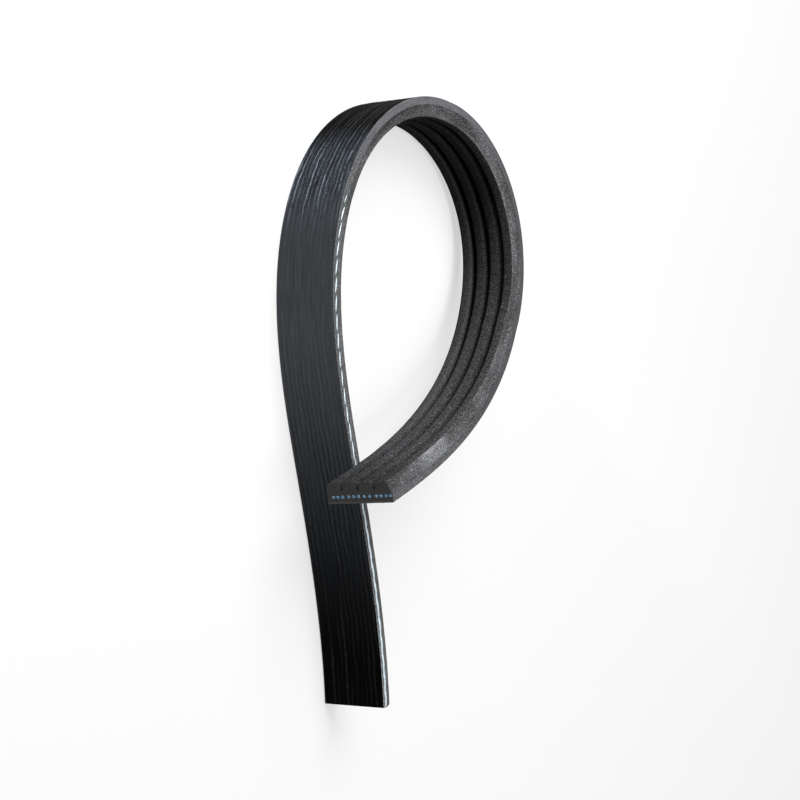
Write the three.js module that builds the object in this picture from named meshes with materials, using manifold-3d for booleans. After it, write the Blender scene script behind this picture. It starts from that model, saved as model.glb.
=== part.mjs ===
// A cut length of four-ribbed serpentine belt, curled into an open P that laps over itself.
// Millimetres, +Z up. The belt lies on its lower slit edge on z = 0, and its tail end crosses above
// the straighter first stretch. The bounding box is centred on x = y = 0.
import * as THREE from "three";
import Module from "manifold-3d";

const wasm = await Module();
wasm.setup();

// Section. The width is whole ribs at the standard pitch, because the belt is slit from a wide sleeve.
const RIB_COUNT = 4;
const RIB_PITCH = 3.56;
const BELT_WIDTH = RIB_COUNT * RIB_PITCH;
const BELT_THICKNESS = 4.35;
const GROOVE_DEPTH = 1.75;
const GROOVE_ANGLE = 40;
const GROOVE_OPENING = 1.5;
const RIB_TIP_RADIUS = 0.35;
// The knife ran a little off the middle of the groove, so the ribs sit nearer the lower edge.
const RIB_OFFSET = -0.22;

// Tensile cords: one row under the grooves, drawn as hexagons of the same area as the round cord.
const CORD_COUNT = 12;
const CORD_SIDES = 6;
const CORD_DIAMETER = 0.8;
const CORD_PITCH = 1.12;
const CORD_DEPTH = 1.35;
const CORD_CLEARANCE = 0.03;
const TUNNEL_OVERRUN = 0.1;
// Distance from the upper slit edge to the first cord: inside the rubber, and where the knife bared it.
const EDGE_TO_CORD = 0.51;
const EDGE_TO_BARE_CORD = 0.3;
const BARE_SHARE = 0.349;
const BARE_TAPER = 6;

// The curl. Places along the belt, and the bend radii there, are shares of its length, so the length
// sets the size of the whole curl. A positive radius bends the ribs to the inside.
const BELT_LENGTH = 304;
const BEND_SHARES = [
  [0, -0.4313],
  [0.158, -3.29],
  [0.296, 0.1987],
  [0.395, 0.13],
  [0.477, 0.1247],
  [0.559, 0.1082],
  [0.6415, 0.0832],
  [0.74, 0.19],
  [0.855, 0.365],
  [1, 3.29],
];
const START_HEADING_ANGLE = 108.6;

// The first stretch leans in a little and comes upright along the loop.
const START_LEAN_ANGLE = 5;
const LEAN_END_SHARE = 0.411;

// The belt then climbs, so that its tail clears the upper edge of the first stretch where it crosses.
const CLIMB_START_SHARE = 0.52;
const CLIMB_END_SHARE = 0.743;
const CROSSING_SHARE = 0.961;
const CROSSING_GAP = 0.8;

// Facets: the greatest distance between a facet and the true curve, and the longest facet.
const FACET_SAG = 0.15;
const LONGEST_FACET = 12;
const PATH_STEP = 0.25;

const radians = THREE.MathUtils.degToRad;
const halfWidth = BELT_WIDTH / 2;
const flankSlope = Math.tan(radians(GROOVE_ANGLE / 2));

const bareLength = BARE_SHARE * BELT_LENGTH;
const climbMiddleShare = (CLIMB_START_SHARE + CLIMB_END_SHARE) / 2;
const climbLength = (CROSSING_SHARE - climbMiddleShare) * BELT_LENGTH;
const climbAngle = Math.asin((BELT_WIDTH + CROSSING_GAP) / climbLength);

// Curvature at a distance along the belt, straight-line between the stated radii.
function curvature(s) {
  const at = Math.min(Math.max(s / BELT_LENGTH, 0), 1);
  const next = Math.max(1, BEND_SHARES.findIndex(([share]) => share >= at));
  const [share0, radius0] = BEND_SHARES[next - 1];
  const [share1, radius1] = BEND_SHARES[next];
  return THREE.MathUtils.mapLinear(at, share0, share1, 1 / radius0, 1 / radius1) / BELT_LENGTH;
}

// How far the belt leans in, and how steeply it climbs, at a distance along it.
const lean = (s) =>
  radians(START_LEAN_ANGLE) * (1 - THREE.MathUtils.smoothstep(s, 0, LEAN_END_SHARE * BELT_LENGTH));
const climb = (s) =>
  climbAngle *
  THREE.MathUtils.smoothstep(s, CLIMB_START_SHARE * BELT_LENGTH, CLIMB_END_SHARE * BELT_LENGTH);

// Running totals of heading and position, taken in short equal steps along the belt.
function tracePath() {
  const steps = Math.round(BELT_LENGTH / PATH_STEP);
  const step = BELT_LENGTH / steps;
  const points = [{ heading: radians(START_HEADING_ANGLE), x: 0, y: 0, rise: 0 }];
  for (let i = 0; i < steps; i += 1) {
    const here = points[i];
    const middle = (i + 0.5) * step;
    const turn = curvature(middle) * step;
    const heading = here.heading - turn / 2;
    const slope = climb(middle);
    points.push({
      heading: here.heading - turn,
      x: here.x + step * Math.cos(slope) * Math.cos(heading),
      y: here.y + step * Math.cos(slope) * Math.sin(heading),
      rise: here.rise + step * Math.sin(slope),
    });
  }
  return { step, points };
}

const path = tracePath();

// The frame of the belt at a distance along it: the middle of its back, the way along, the way across
// from the lower to the upper edge, and the way out through the smooth back.
function frameAt(s) {
  const place = Math.min(Math.max(s, 0), BELT_LENGTH) / path.step;
  const i = Math.min(Math.floor(place), path.points.length - 2);
  const [a, b] = [path.points[i], path.points[i + 1]];
  const between = (key) => THREE.MathUtils.lerp(a[key], b[key], place - i);
  const heading = between("heading");
  const slope = climb(s);
  const half = PATH_STEP / 2;
  const steepening = (climb(s + half) - climb(s - half)) / PATH_STEP;
  // Turning with the bend as it climbs, the belt banks without bending edgewise.
  const bank = steepening > 0 ? Math.atan2(steepening, curvature(s) * Math.cos(slope)) : 0;
  const tilt = bank - lean(s);
  const along = new THREE.Vector3(
    Math.cos(slope) * Math.cos(heading),
    Math.cos(slope) * Math.sin(heading),
    Math.sin(slope),
  );
  const level = new THREE.Vector3(-Math.sin(heading), Math.cos(heading), 0);
  const upright = new THREE.Vector3().crossVectors(along, level);
  const across = upright.clone().multiplyScalar(Math.cos(tilt)).addScaledVector(level, Math.sin(tilt));
  const out = level.clone().multiplyScalar(Math.cos(tilt)).addScaledVector(upright, -Math.sin(tilt));
  const height = halfWidth * Math.cos(lean(s)) + lowerSlitDepth * Math.sin(lean(s)) + between("rise");
  return { along, across, out, middle: new THREE.Vector3(between("x"), between("y"), height) };
}

// Section corners as [across, depth below the back], counter-clockwise seen from the tail end. The
// outer flanks run out to the slit edges.
const tipHalf = (RIB_PITCH - GROOVE_OPENING) / 2;
const ribCentre = (i) => (i - (RIB_COUNT - 1) / 2) * RIB_PITCH + RIB_OFFSET;
const lowerSlitDepth = BELT_THICKNESS - (ribCentre(0) - tipHalf + halfWidth) / flankSlope;
const upperSlitDepth = BELT_THICKNESS - (halfWidth - ribCentre(RIB_COUNT - 1) - tipHalf) / flankSlope;

// One rounded corner of a rib's tip, in three points from the flank to the land.
function tipCorner(centre, side) {
  const turn = radians(90 - GROOVE_ANGLE / 2);
  const inset = RIB_TIP_RADIUS * Math.tan(turn / 2);
  const arcCentre = centre + side * (tipHalf - inset);
  return [turn, turn / 2, 0].map((angle) => [
    arcCentre + side * RIB_TIP_RADIUS * Math.sin(angle),
    BELT_THICKNESS - RIB_TIP_RADIUS * (1 - Math.cos(angle)),
  ]);
}

function beltSection() {
  const grooveFloorHalf = GROOVE_OPENING / 2 - GROOVE_DEPTH * flankSlope;
  const points = [[halfWidth, 0], [-halfWidth, 0], [-halfWidth, lowerSlitDepth]];
  for (let i = 0; i < RIB_COUNT; i += 1) {
    const centre = ribCentre(i);
    points.push(...tipCorner(centre, -1), ...tipCorner(centre, 1).reverse());
    if (i < RIB_COUNT - 1) {
      const groove = centre + RIB_PITCH / 2;
      const depth = BELT_THICKNESS - GROOVE_DEPTH;
      points.push([groove - grooveFloorHalf, depth], [groove + grooveFloorHalf, depth]);
    }
  }
  points.push([halfWidth, upperSlitDepth]);
  return points.reverse();
}

// A hexagon round a cord's centre, with two of its flats square to the width of the belt.
function cordSection(centre, clearance) {
  const step = (2 * Math.PI) / CORD_SIDES;
  const sameArea = Math.sqrt(step / Math.sin(step));
  const radius = (CORD_DIAMETER / 2) * sameArea + clearance / Math.cos(step / 2);
  return Array.from({ length: CORD_SIDES }, (_, i) => {
    const angle = (i + 0.5) * step;
    return [centre + radius * Math.cos(angle), CORD_DEPTH + radius * Math.sin(angle)];
  });
}

// The row of cords wanders towards the upper edge along the bared stretch.
function cordCentre(index, s) {
  const covered = THREE.MathUtils.clamp((s - bareLength) / BARE_TAPER, 0, 1);
  const edge = THREE.MathUtils.lerp(EDGE_TO_BARE_CORD, EDGE_TO_CORD, covered);
  return halfWidth - edge - index * CORD_PITCH;
}

// Distances along the belt at which sections are placed: closer together where it bends harder.
function sectionPlaces() {
  const bends = BEND_SHARES.map(([share]) => share * BELT_LENGTH);
  const marks = [...bends, bareLength, bareLength + BARE_TAPER];
  const sorted = [...new Set(marks)].sort((a, b) => a - b);
  const places = [0];
  for (let i = 1; i < sorted.length; i += 1) {
    const [from, to] = [sorted[i - 1], sorted[i]];
    const bend = Math.abs(curvature((from + to) / 2));
    const longest = Math.min(LONGEST_FACET, Math.sqrt((8 * FACET_SAG) / bend));
    const count = Math.ceil((to - from) / longest);
    for (let k = 1; k <= count; k += 1) places.push(THREE.MathUtils.lerp(from, to, k / count));
  }
  return places;
}

// Moves the traced path so that the belt's box is centred on x = y = 0.
function centredFrames(distances, outline) {
  const made = distances.map(frameAt);
  const box = new THREE.Box3();
  made.forEach(({ middle, across, out }) => {
    outline.forEach(([u, v]) => {
      box.expandByPoint(middle.clone().addScaledVector(across, u).addScaledVector(out, -v));
    });
  });
  const centre = box.getCenter(new THREE.Vector3()).setZ(0);
  made.forEach(({ middle }) => middle.sub(centre));
  return made;
}

const places = sectionPlaces();
const section = beltSection();
const frames = centredFrames(places, section);

// A closed solid along the whole belt from one section per place, run on past both ends by an overrun.
function sweep(sectionAt, overrun) {
  const vertices = [];
  const last = places.length - 1;
  places.forEach((s, i) => {
    const { middle, along, across, out } = frames[i];
    const shift = i === 0 ? -overrun : i === last ? overrun : 0;
    const origin = middle.clone().addScaledVector(along, shift);
    sectionAt(s).forEach(([u, v]) => {
      vertices.push(...origin.clone().addScaledVector(across, u).addScaledVector(out, -v));
    });
  });
  const outline = sectionAt(0).map(([u, v]) => new THREE.Vector2(u, v));
  const count = outline.length;
  const triangles = [];
  for (let i = 0; i < last; i += 1) {
    for (let j = 0; j < count; j += 1) {
      const [a, b] = [i * count + j, i * count + ((j + 1) % count)];
      triangles.push(a, b, b + count, a, b + count, a + count);
    }
  }
  THREE.ShapeUtils.triangulateShape(outline, []).forEach(([a, b, c]) => {
    triangles.push(a, c, b);
    triangles.push(last * count + a, last * count + b, last * count + c);
  });
  return new wasm.Manifold(
    new wasm.Mesh({
      numProp: 3,
      vertProperties: new Float32Array(vertices),
      triVerts: new Uint32Array(triangles),
    }),
  );
}

const envelope = sweep(() => section, 0);
const indices = Array.from({ length: CORD_COUNT }, (_, i) => i);
const tunnels = indices.map((i) =>
  sweep((s) => cordSection(cordCentre(i, s), CORD_CLEARANCE), TUNNEL_OVERRUN),
);
const body = tunnels.reduce((rubber, tunnel) => rubber.subtract(tunnel), envelope);
// The bared cord is cut flush with the slit edge by the same knife.
const cords = indices
  .map((i) => sweep((s) => cordSection(cordCentre(i, s), 0), 0))
  .map((cord, i) => (i === 0 ? cord.intersect(envelope) : cord));

function meshOf(name, solid, material) {
  const mesh = solid.getMesh();
  const geometry = new THREE.BufferGeometry();
  geometry.setAttribute("position", new THREE.BufferAttribute(mesh.vertProperties, mesh.numProp));
  geometry.setIndex(new THREE.BufferAttribute(mesh.triVerts, 1));
  geometry.computeVertexNormals();
  const made = new THREE.Mesh(geometry, material);
  made.name = name;
  return made;
}

const rubber = new THREE.MeshStandardMaterial({ name: "rubber", color: 0x26292d, roughness: 0.7 });
const cordYarn = new THREE.MeshStandardMaterial({ name: "cord", color: 0xa9c0d2, roughness: 0.8 });

const belt = new THREE.Group();
belt.name = "serpentine_belt";
belt.add(meshOf("belt_body", body, rubber));
cords.forEach((cord, i) => {
  belt.add(meshOf(`tensile_cord_${String(i + 1).padStart(2, "0")}`, cord, cordYarn));
});

export default belt;
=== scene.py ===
# %% [markdown]
# # A serpentine belt, curled into a P
#
# The object is a cut length of ribbed rubber belt. It lies on its lower slit edge, bends round into
# a loop and laps over itself. The imported CAD model is the fixed frame of this scene: it says how big
# everything is and where it goes. This first cell loads it.

import math

import bpy
import numpy as np
from mathutils import Matrix, Vector
from mathutils.geometry import tessellate_polygon


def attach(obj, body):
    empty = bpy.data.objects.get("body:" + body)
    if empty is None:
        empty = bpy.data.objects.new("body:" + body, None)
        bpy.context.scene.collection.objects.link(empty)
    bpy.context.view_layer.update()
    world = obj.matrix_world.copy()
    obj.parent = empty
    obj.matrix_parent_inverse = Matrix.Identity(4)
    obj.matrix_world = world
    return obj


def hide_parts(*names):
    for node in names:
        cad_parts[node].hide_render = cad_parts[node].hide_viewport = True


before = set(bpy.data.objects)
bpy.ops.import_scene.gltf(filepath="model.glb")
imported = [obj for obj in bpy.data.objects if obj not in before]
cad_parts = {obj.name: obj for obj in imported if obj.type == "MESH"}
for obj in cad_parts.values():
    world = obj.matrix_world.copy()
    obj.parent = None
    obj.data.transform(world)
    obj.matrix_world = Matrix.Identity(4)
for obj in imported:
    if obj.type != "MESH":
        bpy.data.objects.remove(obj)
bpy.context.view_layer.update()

# %% [markdown]
# ## Sizes
#
# A ribbed belt is a standard section: its ribs stand 3.56 mm apart, and its width is a whole number
# of ribs because it is slit from a wide sleeve. Everything below is worked out in millimetres, which
# suit an object of this size, and is turned into metres when a mesh is made.

# %% Section and cord sizes
MM = 0.001
RIB_COUNT = 4
RIB_PITCH = 3.56
WIDTH = RIB_COUNT * RIB_PITCH
HALF = WIDTH / 2
THICKNESS = 4.35
GROOVE_DEPTH = 1.75
GROOVE_OPENING = 1.5
FLANK_SLOPE = math.tan(math.radians(20))
RIB_OFFSET = -0.22
TIP_HALF = (RIB_PITCH - GROOVE_OPENING) / 2
TIP_RADIUS = 0.75
BACK_RADIUS, SLIT_RADIUS, FLOOR_RADIUS = 0.06, 0.05, 0.04

CORD_COUNT = 12
CORD_PITCH = 1.12
CORD_DEPTH = 1.35
EDGE_TO_CORD = 0.51

LENGTH = 304.0
BARE_LENGTH = 106.0

rib_centres = (np.arange(RIB_COUNT) - (RIB_COUNT - 1) / 2) * RIB_PITCH + RIB_OFFSET
lower_slit = THICKNESS - (rib_centres[0] - TIP_HALF + HALF) / FLANK_SLOPE
upper_slit = THICKNESS - (HALF - rib_centres[-1] - TIP_HALF) / FLANK_SLOPE
print("width", WIDTH, "slit depths", round(lower_slit, 3), round(upper_slit, 3))

# %% [markdown]
# ## The way the belt bends
#
# A belt is stiff across its width and limp along its length, so its curl is described by one
# number at each place: how sharply it bends there. Adding up the bend gives the heading, and adding
# up the heading gives the position. The table below holds shares of the length, each with the bend
# radius there as a share of the length too. A minus turns the other way. The first stretch also leans
# in by a few degrees, and past the top of the loop the belt climbs, so that its tail passes above the
# first stretch.

# %% Trace the path
BEND_SHARES = np.array([
    [0, -0.4313], [0.158, -3.29], [0.296, 0.1987], [0.395, 0.13], [0.477, 0.1247],
    [0.559, 0.1082], [0.6415, 0.0832], [0.74, 0.19], [0.855, 0.365], [1, 3.29],
])
TRACE_POINTS = 2433
START_HEADING = math.radians(108.6)
START_LEAN = math.radians(5)
LEAN_END = 0.411 * LENGTH
CLIMB_START, CLIMB_END = 0.52 * LENGTH, 0.743 * LENGTH
CROSSING, CROSSING_GAP = 0.961 * LENGTH, 0.8
CLIMB_ANGLE = math.asin((WIDTH + CROSSING_GAP) / (CROSSING - (CLIMB_START + CLIMB_END) / 2))


def smoothstep(x, low, high):
    """3t^2 - 2t^3 of the share t of the way from low to high, held at 0 and 1 outside."""
    t = np.clip((x - low) / (high - low), 0, 1)
    return t * t * (3 - 2 * t)


def curvature(s):
    """One over the bend radius, straight-line between the stated radii."""
    return np.interp(s / LENGTH, BEND_SHARES[:, 0], 1 / BEND_SHARES[:, 1]) / LENGTH


def running_total(rate, s):
    """The area under a rate from the start, by trapezoids."""
    pieces = (rate[1:] + rate[:-1]) / 2 * np.diff(s)
    return np.concatenate([[0], np.cumsum(pieces)])


trace = np.linspace(0, LENGTH, TRACE_POINTS)
trace_heading = START_HEADING - running_total(curvature(trace), trace)
trace_slope = CLIMB_ANGLE * smoothstep(trace, CLIMB_START, CLIMB_END)
trace_x = running_total(np.cos(trace_slope) * np.cos(trace_heading), trace)
trace_y = running_total(np.cos(trace_slope) * np.sin(trace_heading), trace)
trace_rise = running_total(np.sin(trace_slope), trace)


def frame_at(s):
    """Middle of the back, along, across (lower to upper edge) and out (through the back) at s.

    Across and out are the upright and level directions, turned about along by the bank minus the
    lean. The bank is the angle whose tangent is the steepening over the level curvature. The
    steepening is how fast the slope grows: 6t(1 - t) times its full angle over the climb's length.
    """
    heading = np.interp(s, trace, trace_heading)
    slope = CLIMB_ANGLE * smoothstep(s, CLIMB_START, CLIMB_END)
    t = np.clip((s - CLIMB_START) / (CLIMB_END - CLIMB_START), 0, 1)
    steepening = CLIMB_ANGLE * 6 * t * (1 - t) / (CLIMB_END - CLIMB_START)
    bank = np.where(steepening > 0, np.arctan2(steepening, curvature(s) * np.cos(slope)), 0)
    lean = START_LEAN * (1 - smoothstep(s, 0, LEAN_END))
    tilt = (bank - lean)[:, None]
    along = np.stack([np.cos(slope) * np.cos(heading), np.cos(slope) * np.sin(heading), np.sin(slope)], 1)
    level = np.stack([-np.sin(heading), np.cos(heading), 0 * heading], 1)
    upright = np.cross(along, level)
    across = np.cos(tilt) * upright + np.sin(tilt) * level
    out = np.cos(tilt) * level - np.sin(tilt) * upright
    height = HALF * np.cos(lean) + lower_slit * np.sin(lean) + np.interp(s, trace, trace_rise)
    middle = np.stack([np.interp(s, trace, trace_x), np.interp(s, trace, trace_y), height], 1)
    return middle, along, across, out


def place(s, u, v):
    """Points at distance s along, u across and v below the back, as middle + u across - v out.

    s has one value per section. u and v have one per point of a section, or one per section and point.
    """
    middle, _, across, out = frame_at(s)
    return middle[:, None] + u[..., None] * across[:, None] - v[..., None] * out[:, None] - centre


centre = np.zeros(3)
corner_u = np.array([-HALF, HALF, HALF, -HALF])
corner_v = np.array([0, 0, upper_slit, lower_slit])
rough = place(trace, corner_u, corner_v).reshape(-1, 3)
centre = (rough.min(0) + rough.max(0)) / 2 * [1, 1, 0]
print("curl is", np.ptp(rough, axis=0).round(1), "mm")

# %% [markdown]
# ## The camera
#
# The photograph shows the curl upright against white. A belt can't stand like that, so here it lies
# down and the camera looks down at it, rolled on its side, which gives the same picture. The numbers
# say which way the camera lies from its target, how far it is turned about its own axis, how far away
# it is, and how long its lens is on a sensor 36 mm wide.

# %% Camera
CAMERA_TARGET = np.array([2.258, -1.179, 10.0]) * MM
CAMERA_AZIMUTH, CAMERA_ELEVATION, CAMERA_ROLL = map(math.radians, (-163.752, 34.470, 89.048))
CAMERA_DISTANCE = 378.39 * MM
LENS = 79.166

towards = np.array([
    math.cos(CAMERA_ELEVATION) * math.cos(CAMERA_AZIMUTH),
    math.cos(CAMERA_ELEVATION) * math.sin(CAMERA_AZIMUTH),
    math.sin(CAMERA_ELEVATION),
])
right = np.cross([0, 0, 1], towards)
right /= np.linalg.norm(right)
up = np.cross(towards, right)
turned_right = math.cos(CAMERA_ROLL) * right + math.sin(CAMERA_ROLL) * up
turned_up = math.cos(CAMERA_ROLL) * up - math.sin(CAMERA_ROLL) * right

camera_data = bpy.data.cameras.new("camera")
camera_data.lens = LENS
camera_data.sensor_width = 36
camera_data.clip_start, camera_data.clip_end = 0.01, 20
camera = bpy.data.objects.new("camera", camera_data)
bpy.context.scene.collection.objects.link(camera)
columns = np.eye(4)
columns[:3, 0], columns[:3, 1], columns[:3, 2] = turned_right, turned_up, towards
columns[:3, 3] = CAMERA_TARGET + CAMERA_DISTANCE * towards
camera.matrix_world = Matrix(columns.tolist())
bpy.context.scene.camera = camera
print("camera at", columns[:3, 3].round(3))

# %% [markdown]
# ## Meshes from whole arrays
#
# Every new piece here is a closed outline carried along the belt. That is a grid of points: one row
# for each place along the belt and one column for each point of the outline. Each cell of the grid
# is a four-sided face, and the last column joins on to the first. The end caps get points of their
# own, so that the shading turns sharply at the cut.

# %% Grid to mesh
def tube_faces(rows, columns_count):
    """Quads of a tube: corner (i, j), its neighbour round the outline, and both one row on."""
    i, j = np.meshgrid(np.arange(rows - 1), np.arange(columns_count), indexing="ij")
    here, beside = i * columns_count + j, i * columns_count + (j + 1) % columns_count
    quads = [here, beside, beside + columns_count, here + columns_count]
    return np.stack(quads, -1).reshape(-1, 4)


def make_piece(name, points, faces, attributes, smooth=True):
    """A mesh object at the origin from points in millimetres, faces, and one number per point."""
    mesh = bpy.data.meshes.new(name)
    mesh.from_pydata((points * MM).tolist(), [], faces)
    for key, values in attributes.items():
        layer = mesh.attributes.new(key, "FLOAT", "POINT")
        layer.data.foreach_set("value", np.asarray(values, np.float32))
    mesh.polygons.foreach_set("use_smooth", np.full(len(mesh.polygons), smooth))
    mesh.update()
    piece = bpy.data.objects.new(name, mesh)
    bpy.context.scene.collection.objects.link(piece)
    return piece


def wander(x, seed, wavelength, waves=6):
    """A smooth random line between about -1 and 1: a sum of sines of random length and phase.

    Their lengths lie between 0.6 and 1.9 wavelengths. The sum is scaled by 0.8 over the root of their
    number, so that it seldom passes 1.
    """
    rng = np.random.default_rng(seed)
    lengths = wavelength * rng.uniform(0.6, 1.9, waves)
    phases = rng.uniform(0, 2 * np.pi, waves)
    sines = np.sin(2 * np.pi * np.asarray(x)[..., None] / lengths + phases)
    return sines.sum(-1) / math.sqrt(waves) * 0.8


sample = wander(trace, 1, 20)
print("a wandering line runs from", sample.min().round(2), "to", sample.max().round(2))

# %% [markdown]
# ## The belt's outline
#
# The outline is a list of corners, each with its own small radius. The back's edges and the groove
# floors are nearly sharp, and the rib tips are ground round. Every corner is drawn as a quadratic
# curve and every straight run is filled with points, closely on the back, where the cords print
# through, and more widely elsewhere. Each point remembers which surface it lies on, because
# the knife, the grinding wheel and the mould each leave a different finish.

# %% Outline with rounded corners
BACK, SLIT, FLANK, RIBS = 0, 1, 2, 3
SPACING = {BACK: 0.16, SLIT: 0.35, FLANK: 0.4, RIBS: 0.4}
TIP_STEPS, CORNER_STEPS = 8, 4
FLOOR_HALF = GROOVE_OPENING / 2 - GROOVE_DEPTH * FLANK_SLOPE


def outline_corners():
    """Corners as (u, v, radius, surface of the run that follows), upper back edge first."""
    corners = [(HALF, 0, BACK_RADIUS, BACK), (-HALF, 0, BACK_RADIUS, SLIT)]
    corners += [(-HALF, lower_slit, SLIT_RADIUS, FLANK)]
    for i, c in enumerate(rib_centres):
        corners += [(c + side * TIP_HALF, THICKNESS, TIP_RADIUS, RIBS) for side in (-1, 1)]
        if i < RIB_COUNT - 1:
            g, floor = c + RIB_PITCH / 2, THICKNESS - GROOVE_DEPTH
            corners += [(g + side * FLOOR_HALF, floor, FLOOR_RADIUS, RIBS) for side in (-1, 1)]
    corners[-1] = (*corners[-1][:3], FLANK)
    return corners + [(HALF, upper_slit, SLIT_RADIUS, SLIT)]


def rounded_outline(corners):
    """The points' u and v, and the surface that each lies on.

    A corner P between tangent points A and B is the curve (1-t)^2 A + 2t(1-t) P + t^2 B, with A and B
    the radius times tan(half the turn) away from P.
    """
    points = np.array([c[:2] for c in corners], float)
    before, after = np.roll(points, 1, 0), np.roll(points, -1, 0)
    d1 = (points - before) / np.linalg.norm(points - before, axis=1)[:, None]
    d2 = (after - points) / np.linalg.norm(after - points, axis=1)[:, None]
    turn = np.arccos(np.clip((d1 * d2).sum(1), -1, 1))
    reach = np.array([c[2] for c in corners]) * np.tan(turn / 2)
    start, end = points - d1 * reach[:, None], points + d2 * reach[:, None]
    runs, surfaces = [], []
    for i, (_, _, radius, surface) in enumerate(corners):
        t = np.linspace(0, 1, TIP_STEPS if radius == TIP_RADIUS else CORNER_STEPS)[:, None]
        runs.append((1 - t) ** 2 * start[i] + 2 * t * (1 - t) * points[i] + t ** 2 * end[i])
        surfaces += [corners[i - 1][3]] * (len(t) // 2) + [surface] * (len(t) // 2)
        target = start[(i + 1) % len(corners)]
        count = max(1, round(np.linalg.norm(target - end[i]) / SPACING[surface]))
        t = np.arange(1, count)[:, None] / count
        runs.append(end[i] + t * (target - end[i]))
        surfaces += [surface] * len(t)
    return np.concatenate(runs), np.array(surfaces)


outline, surface = rounded_outline(outline_corners())
print("outline points:", len(outline))

# %% [markdown]
# ## Lines down the back
#
# Belts are built up on a drum. The cords are wound under a thin back, and when the rubber cures, the
# back sinks a little between them. So the back has one faint ridge over each cord, and the ridges
# wander and fade like lines combed into soft ground. To let neighbouring ridges wander by different
# amounts without ever crossing, the across coordinate itself is bent: a sum of slanting waves shifts
# it by a tenth of a millimetre or so. The bent coordinate, counted in cords, is called the row. It
# shapes the mesh here and is handed to the material, so that the finest lines fall on the ridges.
#
# The knife that slit the belt ran into the outermost cord near the start, so that cord lies nearer to
# the edge there, and nearest over the first few centimetres.

# %% Rows of cords
STATIONS = 421
s_rows = np.linspace(0, LENGTH, STATIONS)
KNIFE_BITE, KNIFE_BITE_ENDS = 0.182, (104, 114)
START_BITE, START_BITE_ENDS = 0.09, (25, 75)

ROW_WANDER = 0.13
LONG_WAVES = (9, 3, (9, 34), (3.5, 12))
SHORT_WAVES = (6, 9, (2.6, 6), (2, 6))
RIDGE_HEIGHT, RIDGE_WIDTH = 0.055, 0.22
RIDGE_STRENGTH, RIDGE_VARIATION, RIDGE_WAVELENGTH = 0.8, 0.55, 30


def edge_to_cord(s):
    """How deep the outermost cord lies behind the upper slit edge: laid bare near the start."""
    to_cord = EDGE_TO_CORD - KNIFE_BITE * (1 - smoothstep(s, *KNIFE_BITE_ENDS))
    return to_cord - START_BITE * (1 - smoothstep(s, *START_BITE_ENDS))


def cord_line(index, s):
    """Where a cord runs across the belt. The outermost one follows the knife, the rest lie evenly."""
    depth = edge_to_cord(s) if index == 0 else EDGE_TO_CORD + index * CORD_PITCH
    return HALF - depth + 0 * s


def row_of(s, u):
    """Across coordinate in cords, bent by slanting sine waves of random length and direction.

    Each set of waves says how many there are, what each is divided by, and the least and greatest
    length that they have along and across the belt.
    """
    rng = np.random.default_rng(11)
    shift = np.zeros((len(s), len(u)))
    for count, divisor, lengths_along, lengths_across in (LONG_WAVES, SHORT_WAVES):
        for _ in range(count):
            turns_along = s[:, None] / rng.uniform(*lengths_along)
            turns_across = u[None] / rng.uniform(*lengths_across) * rng.choice([-1, 1])
            wave = 2 * np.pi * (turns_along + turns_across)
            shift += np.sin(wave + rng.uniform(0, 2 * np.pi)) / divisor
    return (HALF - EDGE_TO_CORD - u[None] - ROW_WANDER * shift) / CORD_PITCH


def ridge_height(s, row):
    """Bell curves exp(-(offset / width)^2) on the whole rows, each with a strength that wanders."""
    nearest = np.clip(np.round(row), 0, CORD_COUNT - 1).astype(int)
    swells = np.stack([wander(s, 80 + k, RIDGE_WAVELENGTH) for k in range(CORD_COUNT)], 1)
    strength = np.clip(RIDGE_STRENGTH + RIDGE_VARIATION * swells, 0.15, 1.6)
    strength_here = strength[np.arange(len(s))[:, None], nearest]
    return RIDGE_HEIGHT * strength_here * np.exp(-((row - nearest) / RIDGE_WIDTH) ** 2)


row = row_of(s_rows, outline[:, 0])
print("rows run from", row.min().round(2), "to", row.max().round(2))

# %% [markdown]
# ## The rubber body
#
# The outline is carried along the path, and each point is pushed a little: out over the cords on the
# back, and in and out by a hundredth or two of a millimetre on the ground ribs, which are never quite
# straight. The ridges stop short of the edges of the back.

# %% Body surface
UNEVENNESS, UNEVEN_WAVELENGTH, UNEVEN_LINES = 0.018, 5, 6
RIDGES_START, RIDGES_FULL = 0.05, 0.5

u0, v0 = outline[:, 0], outline[:, 1]
on_back, on_ribs = surface == BACK, surface >= FLANK
lift = ridge_height(s_rows, row) * smoothstep(HALF - np.abs(u0), RIDGES_START, RIDGES_FULL) * on_back
lines = np.stack([wander(s_rows, 7 + k, UNEVEN_WAVELENGTH) for k in range(UNEVEN_LINES)], 1)
which_line = np.arange(len(u0)) * UNEVEN_LINES // len(u0)
push_in = UNEVENNESS * lines[:, which_line] * on_ribs
body_points = place(s_rows, u0, v0 - lift + push_in)
side_faces = tube_faces(STATIONS, len(outline))
print("stations", STATIONS, "points round the outline", len(outline))

# %% [markdown]
# The cut faces are the outline itself, filled with triangles. Blender's polygon tessellator does
# that for an outline with grooves in it. The start cap faces backwards, so its triangles are turned
# round.

# %% Cut faces and the finished body
cap = np.array(tessellate_polygon([[Vector((u, v, 0)) for u, v in outline]]))
a, b, c = outline[cap[:, 0]], outline[cap[:, 1]], outline[cap[:, 2]]
signed = (b - a)[:, 0] * (c - a)[:, 1] - (b - a)[:, 1] * (c - a)[:, 0]
cap[signed < 0] = cap[signed < 0][:, ::-1]
n_side, n_ring = STATIONS * len(outline), len(outline)
start_cap = cap[:, ::-1] + n_side
end_cap = cap + n_side + n_ring
points = np.concatenate([body_points.reshape(-1, 3), body_points[0], body_points[-1]])

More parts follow.
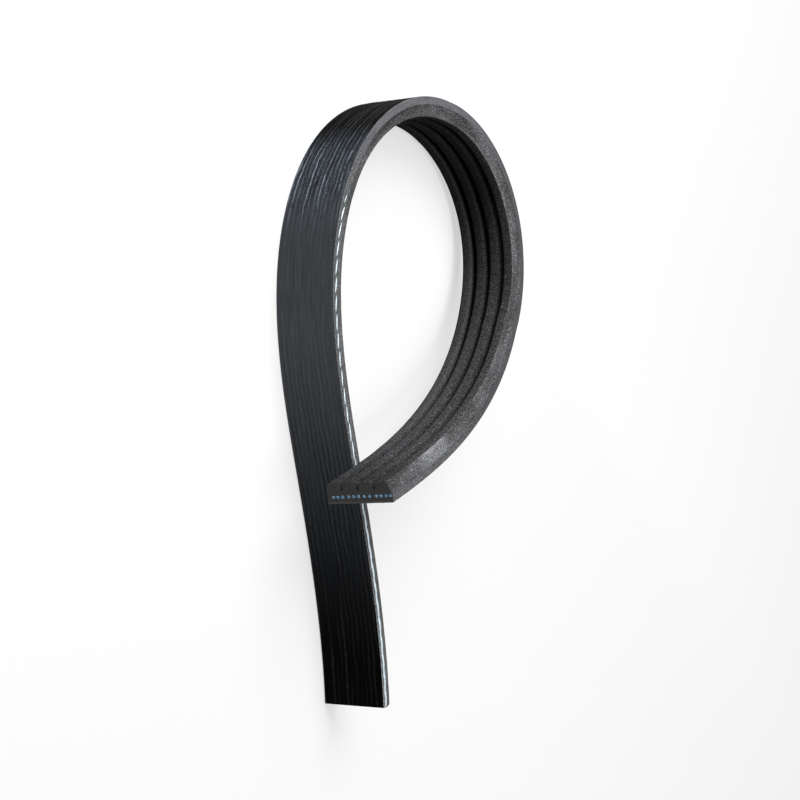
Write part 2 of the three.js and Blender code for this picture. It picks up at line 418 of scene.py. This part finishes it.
along_values = np.concatenate([np.repeat(s_rows, n_ring), np.full(n_ring, 0.0), np.full(n_ring, LENGTH)])
row_values = np.concatenate([row.ravel(), row[0], row[-1]])
is_cut = np.concatenate([np.zeros(n_side), np.ones(2 * n_ring)])


def for_every_ring(values):
    """One number per outline point, repeated for the side rings and for the two cut faces."""
    return np.tile(values, STATIONS + 2)


faces = [f for block in (side_faces[:, ::-1], start_cap, end_cap) for f in block.tolist()]
belt = make_piece("belt_rubber", points, faces, {
    "along": along_values, "row": row_values, "depth": for_every_ring(v0),
    "slit": for_every_ring(surface == SLIT), "flank": for_every_ring(surface == FLANK),
    "ribs": for_every_ring(surface == RIBS), "cut": is_cut,
})
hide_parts("belt_body")
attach(belt, "root")
print("body faces:", len(belt.data.polygons))

# %% [markdown]
# ## The cords
#
# Each cord is three yarns twisted together. Seen in section, three circles of radius a stand a
# distance b from the middle, and their outline is b cos t + sqrt(a^2 - b^2 sin^2 t), with t the angle
# from the nearest yarn. Turning that outline as it runs along the belt gives the twist. Where the
# knife has bared the first cord, the twist lifts one yarn after another out of the slit edge, and
# that makes the row of light dashes. The bared cord rides a little nearer to the back, and its twist
# starts at an angle that puts the dashes where they show on the real one. Near the tail the cords have
# crept out of their even spacing, each by up to 0.4 mm, as the cut end shows.

# %% Twisted cords
YARN_RADIUS = 0.215
YARN_OFFSET = 0.2
TWIST_LENGTH = 11.4
CORD_POINTS = 18
CORD_ROWS, BARE_CORD_ROWS = 300, 1000
BARE_TURN, BARE_RISE, BARE_RISE_FADE = 0.47, 0.28, 40
DEPTH_WANDER, DEPTH_WAVELENGTH = 0.03, 40
END_INSET, END_LIFT, END_ROUGHNESS, END_DOME = 0.7, 0.035, 0.03, 0.09
CREEP_START, CREEP_END = 262, 300
CREEP = [0.06, 0.24, 0.25, 0.38, 0.0, -0.04, -0.15, -0.11, -0.06, -0.28, -0.2, -0.09]


def cord_outline(angle, s, phase):
    """Distance from a cord's middle at an angle: the three yarns' outline, turned by the twist."""
    third = 2 * np.pi / 3
    t = (angle - 2 * np.pi * s / TWIST_LENGTH - phase + third / 2) % third - third / 2
    under_root = np.maximum(YARN_RADIUS ** 2 - (YARN_OFFSET * np.sin(t)) ** 2, 0)
    return YARN_OFFSET * np.cos(t) + np.sqrt(under_root)


def cord_end(ring, direction, rng):
    """A cut end: the ring drawn in by a share, then to a hub, both pushed out to make a rough dome."""
    hub = ring.mean(0)
    lift = END_LIFT + END_ROUGHNESS * rng.uniform(0, 1, len(ring))
    inner = hub + END_INSET * (ring - hub) + lift[:, None] * direction
    return np.concatenate([inner, (hub + END_DOME * direction)[None]])


def cord_end_faces(rows):
    """Quads from each end ring in to the inner ring, and triangles from that to the hub."""
    j, k = np.arange(CORD_POINTS), (np.arange(CORD_POINTS) + 1) % CORD_POINTS
    last, near = (rows - 1) * CORD_POINTS, rows * CORD_POINTS
    far = near + CORD_POINTS + 1
    near_hub, far_hub = np.full(CORD_POINTS, far - 1), np.full(CORD_POINTS, far + CORD_POINTS)
    blocks = [
        [j, k, near + k, near + j], [near + j, near + k, near_hub],
        [last + k, last + j, far + j, far + k], [far + k, far + j, far_hub],
    ]
    return [face for block in blocks for face in np.stack(block, 1).tolist()]


def make_cord(index, rows):
    """One twisted cord from end to end, closed by a slightly domed, uneven end."""
    rng = np.random.default_rng(200 + index)
    s = np.linspace(0, LENGTH, rows)
    angle = np.arange(CORD_POINTS) / CORD_POINTS * 2 * np.pi
    phase = rng.uniform(0, 2 * np.pi) - (BARE_TURN if index == 0 else 0)
    radius = cord_outline(angle[None], s[:, None], phase)
    line = cord_line(index, s) + CREEP[index] * smoothstep(s, CREEP_START, CREEP_END)
    depth = CORD_DEPTH + DEPTH_WANDER * wander(s, 300 + index, DEPTH_WAVELENGTH)
    if index == 0:
        depth -= BARE_RISE * (1 - smoothstep(s, BARE_LENGTH, BARE_LENGTH + BARE_RISE_FADE))
    grid = place(s, line[:, None] + radius * np.cos(angle), depth[:, None] + radius * np.sin(angle))
    along = frame_at(np.array([0.0, LENGTH]))[1]
    start_end = cord_end(grid[0], -along[0], rng)
    tail_end = cord_end(grid[-1], along[1], rng)
    points = np.concatenate([grid.reshape(-1, 3), start_end, tail_end])
    faces = tube_faces(rows, CORD_POINTS)[:, ::-1].tolist() + cord_end_faces(rows)
    end_points = len(start_end)
    along_values = [np.repeat(s, CORD_POINTS), np.full(end_points, 0.0), np.full(end_points, LENGTH)]
    cord = make_piece(f"cord_{index + 1:02d}", points, faces, {
        "along": np.concatenate(along_values),
        "rim": np.concatenate([np.ones(grid[..., 0].size), np.zeros(2 * end_points)]),
        "tone": np.full(len(points), rng.uniform(0.35, 1.0)),
    })
    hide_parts(f"tensile_cord_{index + 1:02d}")
    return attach(cord, "root")


cords = [make_cord(k, BARE_CORD_ROWS if k == 0 else CORD_ROWS) for k in range(CORD_COUNT)]
print("cords:", len(cords), "faces in the first:", len(cords[0].data.polygons))

# %% [markdown]
# ## Loose filaments
#
# Where the knife nicked the bare cord, single filaments stand off it. Each is a short tube with three
# sides that starts on the cord, leaves it at a slant and curls back, thinner towards its tip. Their
# places are marks along the belt in millimetres.

# %% Loose filaments
FILAMENT_PLACES = [7, 19, 20, 38, 41, 43, 57, 64, 72, 79, 88, 101]
FILAMENT_STEPS, FILAMENT_SIDES = 8, 3
FILAMENT_RADIUS, FILAMENT_TAPER = 0.032, 0.6
CORD_SIDE = 0.36
SIDE_MARK = 50.0


def filament_points(s0, rng):
    """A curl out of the edge: out by h sin(0.8 pi x), along by the length times x, x from 0 to 1."""
    x = np.linspace(0, 1, FILAMENT_STEPS)
    length, height = rng.uniform(0.7, 1.7), rng.uniform(0.10, 0.30)
    sideways = rng.uniform(-0.35, 0.25)
    s = s0 + length * x
    u = cord_line(0, s) + CORD_SIDE + height * np.sin(np.pi * x * 0.8)
    v = CORD_DEPTH - BARE_RISE + sideways * x ** 2
    radius = (FILAMENT_RADIUS * (1 - FILAMENT_TAPER * x))[:, None]
    angle = np.arange(FILAMENT_SIDES) * 2 * np.pi / FILAMENT_SIDES
    return place(s, u[:, None] + radius * np.cos(angle), v[:, None] + radius * np.sin(angle))


rng = np.random.default_rng(77)
sets = [filament_points(s0, rng).reshape(-1, 3) for s0 in FILAMENT_PLACES]
each = FILAMENT_STEPS * FILAMENT_SIDES
sides = tube_faces(FILAMENT_STEPS, FILAMENT_SIDES)[:, ::-1].tolist()
tube = [*sides, [0, 1, 2], [each - 1, each - 2, each - 3]]
faces = [[p + n * each for p in face] for n in range(len(sets)) for face in tube]
filament_values = {"along": np.full(each * len(sets), SIDE_MARK)}
filaments = make_piece("loose_filaments", np.concatenate(sets), faces, filament_values)
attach(filaments, "root")
print("filaments:", len(sets))

# %% [markdown]
# ## Shader maths as ordinary expressions
#
# A node tree is easier to read as a formula. The small class below wraps a socket, so that adding or
# multiplying two of them makes the Math node that does it. Everything else goes through one method,
# `make`, which adds a node, sets it up and fills in its sockets.

# %% Socket wrapper
class Value:
    """A number that varies over a surface. Arithmetic on it adds Math nodes to its tree."""

    def __init__(self, tree, socket):
        self.tree, self.socket = tree, socket

    def math(self, operation, *others, flip=False):
        """A Math node on this value and others. With flip, this value comes last."""
        operands = [*others, self] if flip else [self, *others]
        return self.tree.make("ShaderNodeMath", {"operation": operation}, dict(enumerate(operands)))

    def __add__(self, other):
        return self.math("ADD", other)

    def __sub__(self, other):
        return self.math("SUBTRACT", other)

    def __rsub__(self, other):
        return self.math("SUBTRACT", other, flip=True)

    def __mul__(self, other):
        return self.math("MULTIPLY", other)

    def __truediv__(self, other):
        return self.math("DIVIDE", other)

    __radd__, __rmul__ = __add__, __mul__

    def floor(self):
        return self.math("FLOOR")

    def absolute(self):
        return self.math("ABSOLUTE")

    def between(self, low, high):
        """0 below low, 1 above high, smooth between them."""
        settings = {"interpolation_type": "SMOOTHSTEP"}
        sockets = {"Value": self, "From Min": low, "From Max": high}
        return self.tree.make("ShaderNodeMapRange", settings, sockets)

    def stretch(self, rise, full, fading, gone):
        """1 between two marks: it rises from the first to the second, and fades over the last two."""
        return self.between(rise, full) * (1 - self.between(fading, gone))


class Tree:
    """The node tree of a material or the world, with the shader that stands at its end."""

    def __init__(self, owner, shader="Principled BSDF"):
        self.owner = owner
        owner.use_nodes = True
        self.nodes, self.links = owner.node_tree.nodes, owner.node_tree.links
        self.shader = self.nodes[shader]

    def make(self, kind, settings=None, sockets=None, output=0):
        """Adds a node: its settings first, then its sockets, by a value or by a link."""
        node = self.nodes.new(kind)
        for key, value in (settings or {}).items():
            setattr(node, key, value)
        for key, value in (sockets or {}).items():
            self.fill(node.inputs[key], value)
        return Value(self, node.outputs[output])

    def fill(self, socket, value):
        """Links a Value to a socket, or writes anything else into it."""
        if isinstance(value, Value):
            self.links.new(value.socket, socket)
        else:
            socket.default_value = value

    def attribute(self, name):
        """One of the numbers kept on the mesh."""
        return self.make("ShaderNodeAttribute", {"attribute_name": name}, output="Fac")

    def noise(self, vector, scale, detail=2.0, roughness=0.5):
        """Smooth random values from 0 to 1 over a vector."""
        sockets = {"Vector": vector, "Scale": scale, "Detail": detail, "Roughness": roughness}
        return self.make("ShaderNodeTexNoise", {}, sockets, output="Fac")

    def combine(self, x, y, z):
        return self.make("ShaderNodeCombineXYZ", {}, {"X": x, "Y": y, "Z": z})

    def mix(self, share, first, second):
        """A colour between two colours, by a share from 0 to 1."""
        settings = {"data_type": "RGBA", "blend_type": "MIX"}
        return self.make("ShaderNodeMix", settings, {0: share, 6: first, 7: second}, output=2)

    def bump(self, height, distance):
        return self.make("ShaderNodeBump", {}, {"Height": height, "Distance": distance})

    def finish(self, **sockets):
        """Fills the shader's sockets. An underscore in a name stands for a space."""
        for key, value in sockets.items():
            self.fill(self.shader.inputs[key.replace("_", " ")], value)
        return self.owner

    def seen_directly(self):
        """1 for camera, glossy and transmission rays, and 0 for the rays that bring diffuse light."""
        kinds = ("Is Camera Ray", "Is Glossy Ray", "Is Transmission Ray")
        first, second, third = (self.make("ShaderNodeLightPath", output=kind) for kind in kinds)
        return first.math("MAXIMUM", second).math("MAXIMUM", third)


def grey(value, red=1.0, green=1.0, blue=1.0):
    """A nearly neutral colour, from its brightness and a tint."""
    return (value * red, value * green, value * blue, 1.0)


print("a pale grey with a cool tint:", np.round(grey(0.4, 0.98, 1.0, 1.04), 3))

# %% [markdown]
# ## Rubber
#
# One material covers the whole body, because it is one piece of rubber, but each way of making a
# surface leaves its own finish, and masks kept on the mesh say which is where.
#
# The moulded back is smooth and black, with paler worn lines on the ridges over the cords. Its shading
# along the belt is painted: painted shade turns it black at the start and over the top of the loop, and a
# painted highlight brightens the lines over the shoulder. The blade leaves the slit edges pale and finely
# scratched. Grinding opens up the ribs, so that the short fibres mixed into the rubber show as a dense
# grain with bright flecks, in patches along the belt. The cut ends are cleanly sheared, with a slightly
# lighter backing layer.
#
# The back comes first. Its lines follow the rows of cords. The row is jogged a little by a rough noise,
# so that the lines look torn, and a noise that is stretched along the belt and differs from row to row
# makes some lines strong, some faint, and all of them broken.

# %% Rubber: back
GRAIN_SCALE, COARSE_GRAIN_SCALE = 4200, 2400
ROW_JOG = 0.42

t = Tree(bpy.data.materials.new("belt_rubber"))
position = t.make("ShaderNodeTexCoord", output="Object")
along, row_number, depth = t.attribute("along"), t.attribute("row"), t.attribute("depth")
slit, flank, ribs, cut = t.attribute("slit"), t.attribute("flank"), t.attribute("ribs"), t.attribute("cut")

fine = t.noise(position, GRAIN_SCALE, 2.0, 0.6)
medium = t.noise(position, COARSE_GRAIN_SCALE, 2.0, 0.6)
grain = fine.between(0.43, 0.59)
specks = fine.between(0.58, 0.72)
jog = t.noise(t.combine(along * 0.6, row_number * 1.1, 0.0), 1.0, 4.0, 0.85) - 0.5
jagged_row = row_number + jog * ROW_JOG
nearest = (jagged_row + 0.5).floor()
offset = (jagged_row - nearest).absolute()
strong = t.noise(t.combine(along * 0.022, nearest * 3.7, 1.3), 1.0, 2.0, 0.6).between(0.44, 0.62)
faint = t.noise(t.combine(along * 0.035, nearest * 2.9, 8.0), 1.0, 2.0, 0.6).between(0.36, 0.66)
broken = t.noise(t.combine(along * 0.4, nearest * 5.3, 2.0), 1.0, 3.0, 0.7).between(0.34, 0.56)
clean_line = (offset / (strong * 0.06 + 0.07)).between(1.0, 0.2) * (0.25 + strong * 0.75)
crest = clean_line * broken * (0.6 + grain * 0.4)
ridge = offset.between(0.44, 0.08)
threads = t.noise(t.combine(along * 0.07, row_number * 3.9, 6.0), 1.0, 2.0, 0.6).between(0.50, 0.72)
mottled = t.noise(t.combine(along * 0.16, row_number * 1.7, 4.0), 1.0, 3.0, 0.7).between(0.35, 0.7)
print("nodes for the back's lines:", len(t.nodes))

# %% [markdown]
# The ridges are painted bright over the shoulder of the loop as a painted highlight, and the back is
# painted dark between them. Below it the back is an even dark grey. Painted shade lies in the furrows
# between the ridges and fades out upwards, and a little painted shade lies just under the shoulder.
# Towards the start the back is painted black as shade, with the ridges just showing. Over the top it is
# painted black as shade, with a few bright threads that are a painted highlight. The numbers given to
# `between` and `stretch` on `along` are marks along the belt in millimetres.

# %% Rubber: how the back changes along the belt
# Painted light and shade along the back: 0 gives the black painted shade at the start and over the top of
# the loop, 1 gives the lit colours from about 74 to 115 mm and past 185 mm.
painted_light_along_back = along.between(6, 74) * (1 - along.between(115, 129) + along.between(152, 185))
over_shoulder = along.stretch(99, 112, 150, 175)
upper = along.between(112, 124)

even_tone = crest * 0.12 + threads * 0.06 + mottled * 0.08 + grain * 0.05 + 0.10
# Painted shade in the furrows between the ridges, fading out from 48 to 84 mm.
painted_furrow_shade = (1 - offset.between(0.44, 0.28)) * (1 - along.between(48, 84)) * (0.02 + faint * 0.6)
painted_strand_colour = t.mix(even_tone, grey(0.017, 0.95, 1.0, 1.07), grey(0.14, 0.90, 1.0, 1.16))
painted_strand_colour = t.mix(painted_furrow_shade, painted_strand_colour, grey(0.002))
# Painted shade just below the shoulder, rising from 76 to 98 mm.
painted_strand_colour = t.mix(along.between(76, 98) * 0.24, painted_strand_colour, grey(0.004))

# Painted highlight: over the shoulder the ridge lines are painted bright and the back between them is
# painted dark.
lines_tone = crest * 1.15 + threads * grain * 0.36 + ridge * mottled * 0.18
shoulder_tone = lines_tone + mottled * grain * 0.07 + specks * 0.2 + 0.025
shoulder_colour = t.mix(shoulder_tone, grey(0.006, 0.95, 1.0, 1.1), grey(0.22, 0.84, 1.0, 1.22))

ridge_tone = ridge * (faint * 0.4 + strong * 0.4) * (0.2 + grain * 0.9)
# From 112 to 124 mm on, the crests and specks on the black are painted brighter as a painted highlight.
black_tone = ridge_tone + crest * (0.30 + upper * 0.7) + specks * (0.16 + upper * 0.5)
black_colour = t.mix(black_tone, grey(0.0003), grey(0.028))

# The lit back, with the painted highlight over the shoulder.
painted_lit_back_colour = t.mix(over_shoulder, painted_strand_colour, shoulder_colour)
back_colour = t.mix(painted_light_along_back, black_colour, painted_lit_back_colour)
print("nodes with the back's colours:", len(t.nodes))

# %% [markdown]
# The ground finish is a dark base, a grain of fibre ends and a few nearly white flecks. Grinding dust
# greys the ribs towards the tail, and the ribs are a little lighter before the far side of the loop,
# fading out from 165 to 205 mm. The lower ribs further up are painted light, most of all the lowest one
# down the far side of the loop. The upper ribs there, and all ribs at the very tail, get painted shade.
# The grooves are painted black as shade, less so near the tail.

# %% Rubber: ground ribs
flecks = fine.between(0.54, 0.68) * medium.between(0.38, 0.56)
dusty = along.between(228, 286)
groove = depth.between(3.85, 3.05)
lower_ribs = row_number.between(5, 11)
lowest_rib = row_number.between(8.6, 10.2)
rib_colour = t.mix(grain * (0.5 + dusty * 0.3), grey(0.013), grey(0.066, 0.97, 1.0, 1.05))
rib_colour = t.mix(flecks * (0.34 + dusty * 0.42), rib_colour, grey(0.28, 0.98, 1.0, 1.04))
# Grinding dust towards the tail, a little lighter before 165 to 205 mm, and painted light on the lower
# ribs away from the tail.
lighter_by_length = dusty * 0.12 + along.between(205, 165) * 0.10
rib_dust_and_painted_light = lighter_by_length + lower_ribs * (1 - dusty) * (0.20 + grain * 0.36)
rib_colour = t.mix(rib_dust_and_painted_light, rib_colour, grey(0.085, 0.98, 1.0, 1.04))
# Painted light on the lowest rib from 200 to 222 mm, fading past 240 mm.
painted_light_lowest_rib = along.between(200, 222) * (1 - along.between(240, 286) * 0.9) * lowest_rib
rib_colour = t.mix(painted_light_lowest_rib * (0.06 + grain * 0.40), rib_colour, grey(0.14, 0.98, 1.0, 1.03))
# Painted shade on the upper ribs from 170 to 228 mm, and on all ribs from 283 mm to the tail.
painted_shade_upper_ribs = along.stretch(170, 188, 210, 228) * row_number.between(9.5, 2.5)
painted_rib_shade = painted_shade_upper_ribs * 0.45 + along.between(283, 300) * 0.28
rib_colour = t.mix(painted_rib_shade, rib_colour, grey(0.004))
# Painted shade in the grooves, weaker towards the tail.
rib_colour = t.mix(groove * (0.86 - dusty * 0.72), rib_colour, grey(0.003))
print("nodes with the ribs:", len(t.nodes))

# %% [markdown]
# The outer flanks take the same finish in larger patches, where the wheel bit more or less deeply. It
# bit deepest near the tail. Down the far side of the loop and just before its top the flank is darker. The
# flank's edge towards the rib is worn light and painted light as a highlight where its rounding catches
# the light, and by the start fibre dust covers it.

# %% Rubber: outer flanks
patches = t.noise(t.combine(along * 0.07, depth * 0.35, 0.0), 1.0, 2.0, 0.5).between(0.36, 0.66)
# The flank's edge by the rib tip is painted light, as wear and as a painted highlight where its rounding
# catches the light.
edge_wear_and_highlight = depth.between(3.9, 4.12) * along.between(205, 165)
deep_bite = along.stretch(271, 278, 283, 291) * (0.25 + grain * 0.75)
flank_share = flecks * (0.40 + patches * 0.5) + patches * 0.05 + deep_bite * 0.36 + edge_wear_and_highlight * 0.14
# Darker stretches of flank down the far side of the loop and just before its top.
darker_below_the_top = along.between(150, 200) * (1 - along.between(269, 277) + along.between(284, 294))
darker_before_the_top = along.stretch(122, 134, 146, 156) * 0.9
darker_flank = darker_below_the_top + darker_before_the_top
flank_colour = t.mix(grain * 0.65 + patches * 0.35, grey(0.030), grey(0.115, 0.98, 1.0, 1.04))
flank_colour = t.mix(flank_share, flank_colour, grey(0.52, 0.98, 1.0, 1.03))
flank_colour = t.mix(darker_flank * 0.25, flank_colour, grey(0.01))
flank_colour = t.mix(along.between(126, 100) * (0.02 + grain * 0.28), flank_colour, grey(0.28))
print("nodes with the flanks:", len(t.nodes))

# %% [markdown]
# The blade leaves the slit edges pale, with faint streaks along them. Over the top of the loop it cut
# cleanly. Before and after, it tore the rubber, and the edge shows the same grain as the ribs. It is
# duller down the far side of the loop. Near the start the bared cord has shed fibre dust on it.

# %% Rubber: slit edges
scratches = t.noise(t.combine(along * 0.22, depth * 6.5, slit), 1.0, 2.0, 0.6)
blotches = t.noise(t.combine(along * 0.12, depth * 0.8, 3.0), 1.0, 2.0, 0.5)
streaks = scratches.between(0.38, 0.62) * 0.5 + blotches.between(0.3, 0.7) * 0.2 + grain * 0.3
slit_colour = t.mix(streaks, grey(0.070, 0.98, 0.98, 1.05), grey(0.19, 0.98, 0.98, 1.06))
torn = 1 - along.stretch(112, 130, 225, 262)
torn_colour = t.mix(grain, grey(0.045), grey(0.165, 0.96, 1.0, 1.03))
slit_colour = t.mix(torn * 0.7, slit_colour, torn_colour)
slit_colour = t.mix(flecks * (0.25 + torn * 0.35), slit_colour, grey(0.42))
slit_colour = t.mix(along.stretch(150, 200, 246, 282) * 0.42, slit_colour, grey(0.02))
shed = along.between(40, 4) * depth.between(1.45, 1.15) * (0.05 + grain * 0.30)
slit_colour = t.mix(shed, slit_colour, grey(0.50, 0.92, 1.0, 1.04))
print("nodes with the slit edges:", len(t.nodes))

# %% [markdown]
# The cut ends are plain, with a lighter layer under the back. Then the masks choose between the
# finishes, one after another. This rubber hardly shines, so it is rough and its specular level is very
# low. A bump far finer than the mesh gives the grain its bite.

# %% Rubber: cut ends and the finished material
RUBBER_SPECULAR = 0.018
BUMP_DISTANCE = 0.06 * MM

backing = depth.between(0.42, 0.34)
cut_colour = t.mix(medium, grey(0.024), grey(0.060))
cut_colour = t.mix(backing * 0.5, cut_colour, grey(0.085))

colour = t.mix(ribs, back_colour, rib_colour)
colour = t.mix(flank, colour, flank_colour)
colour = t.mix(slit, colour, slit_colour)
colour = t.mix(cut, colour, cut_colour)
ground = flank + ribs
roughness = 0.60 + fine * 0.08 + ground * 0.2 + slit * 0.1 + cut * 0.1 + (upper - crest) * 0.12
height = crest * 0.3 + fine * (ground * 0.9 + slit * 0.3 + cut * 0.2 + 0.1)
normal = t.bump(height + scratches * slit * 0.5, BUMP_DISTANCE)
rubber = t.finish(Base_Color=colour, Roughness=roughness, Normal=normal)
t.shader.inputs["Specular IOR Level"].default_value = RUBBER_SPECULAR
belt.data.materials.append(rubber)
print("rubber nodes:", len(rubber.node_tree.nodes))

# %% [markdown]
# ## Cord yarn
#
# The yarns are polyester, dipped in adhesive, pale with a blue cast. Where they are cut across they
# look a clearer blue, because the light comes through the ends of the filaments. The rim of a cut end
# is dark with adhesive, and each end has a tone of its own.

# %% Cord material
END_REACH, END_FULL = 0.3, 0.05
YARN_BUMP_DISTANCE = 0.04 * MM

t = Tree(bpy.data.materials.new("cord_yarn"))
position = t.make("ShaderNodeTexCoord", output="Object")
along = t.attribute("along")
end = (along - LENGTH / 2).absolute().between(LENGTH / 2 - END_REACH, LENGTH / 2 - END_FULL)
fibre = t.noise(position, GRAIN_SCALE, 2.0, 0.6)
side_colour = t.mix(fibre.between(0.3, 0.7), (0.45, 0.60, 0.68, 1), (0.86, 0.95, 1.0, 1))
end_colour = t.mix(fibre.between(0.42, 0.62), (0.035, 0.12, 0.23, 1), (0.23, 0.42, 0.60, 1))
end_colour = t.mix(t.attribute("rim").between(0.1, 1.0) * 0.85, end_colour, (0.02, 0.05, 0.09, 1))
end_colour = t.mix(t.attribute("tone"), (0.03, 0.08, 0.13, 1), end_colour)
colour = t.mix(end, side_colour, end_colour)
normal = t.bump(fibre, YARN_BUMP_DISTANCE)
yarn = t.finish(Base_Color=colour, Roughness=0.6, Normal=normal)
for piece in [*cords, filaments]:
    piece.data.materials.append(yarn)
print("cord nodes:", len(yarn.node_tree.nodes))

# %% [markdown]
# ## Floor
#
# The photograph is a packshot: black rubber on plain white. A white floor all round would throw so
# much light up the standing walls of the belt that they turned grey. A photographer shoots over dark
# ground and brings the white in afterwards, and Light Path does the same here. The camera, mirrors and
# glass see a white floor with the belt's soft shadow on it. The diffuse rays that light the belt meet
# a dark one.

# %% Floor
FLOOR_HALF_SIDE = 4.0
PURE_WHITE_SHARE = 0.6

floor_corners = np.array([[-1, -1, 0], [1, -1, 0], [1, 1, 0], [-1, 1, 0]]) * FLOOR_HALF_SIDE / MM
floor = make_piece("floor", floor_corners, [(0, 1, 2, 3)], {}, smooth=False)
t = Tree(bpy.data.materials.new("floor_white"))
seen = t.seen_directly()
t.finish(Base_Color=t.mix(seen, grey(0.05), grey(0.88)), Roughness=0.9)
white = t.make("ShaderNodeEmission", {}, {"Color": grey(1.0), "Strength": 1.0})
lit = Value(t, t.shader.outputs[0])
lifted = t.make("ShaderNodeMixShader", {}, {0: seen * PURE_WHITE_SHARE, 1: lit, 2: white})
t.fill(t.nodes["Material Output"].inputs["Surface"], lifted)
floor.data.materials.append(t.owner)
print("floor", 2 * FLOOR_HALF_SIDE, "m wide")

# %% [markdown]
# ## Light
#
# Two square panels half a metre wide, and two soft spots. The panel beyond the top of the loop lights
# the rib faces and the slit edges, and the one overhead evens the edges out. A low spot beside the
# camera and another along the shoulder of the loop are narrow and soft-edged, so that the back is
# brightest at the shoulder and falls off down the strand. Each lamp stands in a direction, given by
# azimuth and elevation in degrees, at a distance in metres from what it lights. The surroundings add
# only a little light of their own, and are white to the camera.

# %% Lamps and surroundings
SHOULDER = (-0.030, 0.050, 0.008)
PANEL_SIDE = 0.5
SURROUND_SHARE = 0.06


def lamp(name, kind, azimuth, elevation, distance, target, power):
    """A lamp that stands in a direction from its target and faces it. Gives back its settings."""
    azimuth, elevation = math.radians(azimuth), math.radians(elevation)
    level = math.cos(elevation)
    direction = Vector((level * math.cos(azimuth), level * math.sin(azimuth), math.sin(elevation)))
    settings = bpy.data.lights.new(name, kind)
    settings.energy = power
    stand = bpy.data.objects.new(name, settings)
    bpy.context.scene.collection.objects.link(stand)
    stand.location = Vector(target) + distance * direction
    stand.rotation_euler = direction.to_track_quat("Z", "Y").to_euler()
    stand.visible_camera = False
    return settings


def panel(name, azimuth, elevation, distance, power):
    """A square lamp that faces the middle of the belt."""
    settings = lamp(name, "AREA", azimuth, elevation, distance, (0, 0, 0), power)
    settings.size = PANEL_SIDE


def soft_spot(name, azimuth, elevation, distance, power, cone, radius):
    """A round lamp with a soft-edged beam, aimed at the shoulder of the loop."""
    settings = lamp(name, "SPOT", azimuth, elevation, distance, SHOULDER, power)
    settings.spot_size, settings.spot_blend = math.radians(cone), 1.0
    settings.shadow_soft_size = radius


panel("beyond_the_loop", 115, 45, 0.7, power=5.0)
panel("overhead", 0, 89.9, 0.7, power=2.6)
soft_spot("beside_the_camera", 212, 3.5, 0.45, power=4.0, cone=34, radius=0.025)
soft_spot("along_the_shoulder", 152, 5, 0.45, power=8.5, cone=22, radius=0.03)

t = Tree(bpy.data.worlds.new("studio"), "Background")
strength = t.seen_directly() * (1 - SURROUND_SHARE) + SURROUND_SHARE
bpy.context.scene.world = t.finish(Color=grey(1.0), Strength=strength)
bpy.context.scene.view_settings.view_transform = "Standard"

# %% Update the scene
bpy.context.view_layer.update()
